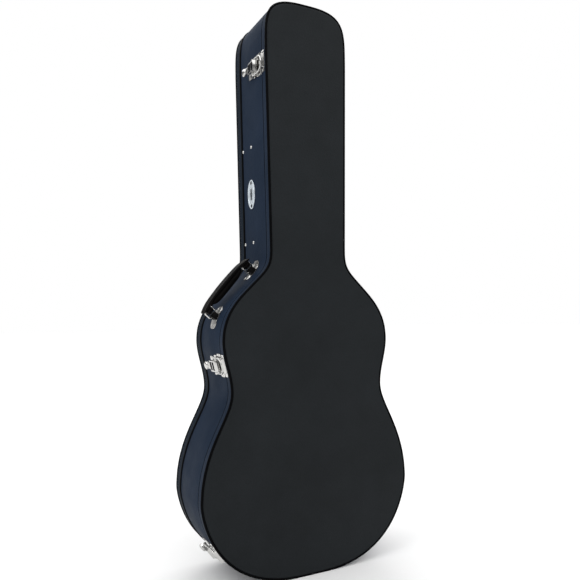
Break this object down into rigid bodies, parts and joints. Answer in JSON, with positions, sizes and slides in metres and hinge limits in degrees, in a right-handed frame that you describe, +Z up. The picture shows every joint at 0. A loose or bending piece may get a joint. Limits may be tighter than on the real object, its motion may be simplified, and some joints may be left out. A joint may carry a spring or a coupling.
{
  "type": "guitar case",
  "caption": "Hard-shell guitar case with hinged lid, draw latches, carrying handle, plush lining, neck cradle and lidded accessory compartment.",
  "frame": {"origin": "middle of the lower end, half way through the depth, on the surface the case stands on", "axes": "+Z up to the head end, +X to the hinge side, -Y out of the lid face"},
  "size_m": [0.4362, 0.152, 1.074],
  "materials": {
    "side_vinyl": "plywood covered in dark blue-grey grained vinyl",
    "strip_vinyl": "dark grained vinyl strip",
    "panel_vinyl": "plywood covered in near-black grained vinyl",
    "welt": "smooth black piping",
    "chrome": "polished stamped steel",
    "plush": "short black plush over foam",
    "ribbon": "woven ribbon",
    "handle_leather": "black leatherette, stitched",
    "saddle_plastic": "black moulded nylon",
    "badge": "pale satin metal"
  },
  "bodies": {
    "base": {"base_rim": "side_vinyl", "base_panel": "panel_vinyl", "cover_strip": "strip_vinyl", "band_welt": "welt", "back_welt": "welt", "valance": "plush", "side_padding": "plush", "floor_padding": "plush", "neck_cradle": "plush", "compartment_wall_body": "plush", "compartment_wall_head": "plush", "compartment_nails": "chrome", "hinge_base_leaf_lower": "chrome", "hinge_base_leaf_upper": "chrome", "hinge_pins": "chrome", "hinge_base_rivets": "chrome", "latch_plate_bottom": "chrome", "latch_plate_waist": "chrome", "latch_plate_head": "chrome", "latch_pivot_pins": "chrome", "latch_rivets": "chrome", "handle_bracket_lower": "chrome", "handle_bracket_upper": "chrome", "bracket_rivets": "chrome", "handle_saddle_lower": "saddle_plastic", "handle_saddle_upper": "saddle_plastic", "badge_plate": "badge", "badge_pins": "chrome"},
    "lid": {"lid_rim": "side_vinyl", "lid_panel": "panel_vinyl", "lid_welt": "welt", "lid_padding": "plush", "hinge_lid_leaf_lower": "chrome", "hinge_lid_leaf_upper": "chrome", "hinge_lid_rivets": "chrome", "keeper_bottom": "chrome", "keeper_waist": "chrome", "keeper_head": "chrome", "keeper_rivets": "chrome"},
    "handle": {"handle_grip": "handle_leather", "handle_ring_lower": "chrome", "handle_ring_upper": "chrome"},
    "compartment_cover": {"compartment_lid": "plush", "compartment_tab": "ribbon"},
    "lever_bottom": {"latch_lever_bottom": "chrome", "loop_pin_bottom": "chrome"},
    "loop_bottom": {"latch_loop_bottom": "chrome"},
    "lever_waist": {"latch_lever_waist": "chrome", "loop_pin_waist": "chrome"},
    "loop_waist": {"latch_loop_waist": "chrome"},
    "lever_head": {"latch_lever_head": "chrome", "loop_pin_head": "chrome"},
    "loop_head": {"latch_loop_head": "chrome"}
  },
  "joints": [
    {"name": "lid_hinge", "type": "hinge", "parent": "base", "child": "lid", "pos_m": [0.21592, -0.056, 0.183], "axis": [-0.1495, 0, 0.9888], "range_deg": [0, 105]},
    {"name": "latch_lever_bottom_pivot", "type": "hinge", "parent": "base", "child": "lever_bottom", "pos_m": [-0.1813, -0.038, 0.06087], "axis": [-0.6258, 0, 0.7799], "range_deg": [0, 115]},
    {"name": "latch_loop_bottom_pivot", "type": "hinge", "parent": "lever_bottom", "child": "loop_bottom", "pos_m": [-0.1813, -0.024, 0.06087], "axis": [-0.6258, 0, 0.7799], "range_deg": [-115, 0]},
    {"name": "latch_lever_waist_pivot", "type": "hinge", "parent": "base", "child": "lever_waist", "pos_m": [-0.1705, -0.038, 0.38874], "axis": [-0.2522, 0, 0.9677], "range_deg": [0, 115]},
    {"name": "latch_loop_waist_pivot", "type": "hinge", "parent": "lever_waist", "child": "loop_waist", "pos_m": [-0.1705, -0.024, 0.38874], "axis": [-0.2522, 0, 0.9677], "range_deg": [-115, 0]},
    {"name": "latch_lever_head_pivot", "type": "hinge", "parent": "base", "child": "lever_head", "pos_m": [-0.0907, -0.038, 0.95391], "axis": [-0.0189, 0, 0.9998], "range_deg": [0, 115]},
    {"name": "latch_loop_head_pivot", "type": "hinge", "parent": "lever_head", "child": "loop_head", "pos_m": [-0.0907, -0.024, 0.95391], "axis": [-0.0189, 0, 0.9998], "range_deg": [-115, 0]},
    {"name": "handle_pivot", "type": "hinge", "parent": "base", "child": "handle", "pos_m": [-0.13172, -0.013, 0.52358], "axis": [0.654, 0, 0.7565], "range_deg": [-50, 50]},
    {"name": "compartment_lid_hinge", "type": "hinge", "parent": "base", "child": "compartment_cover", "pos_m": [0.056, -0.012, 0.715], "axis": [0, 0, 1], "range_deg": [0, 20]}
  ],
  "couplings": [
    {"joint": "latch_loop_bottom_pivot", "follows": "latch_lever_bottom_pivot", "ratio": -1},
    {"joint": "latch_loop_waist_pivot", "follows": "latch_lever_waist_pivot", "ratio": -1},
    {"joint": "latch_loop_head_pivot", "follows": "latch_lever_head_pivot", "ratio": -1}
  ]
}
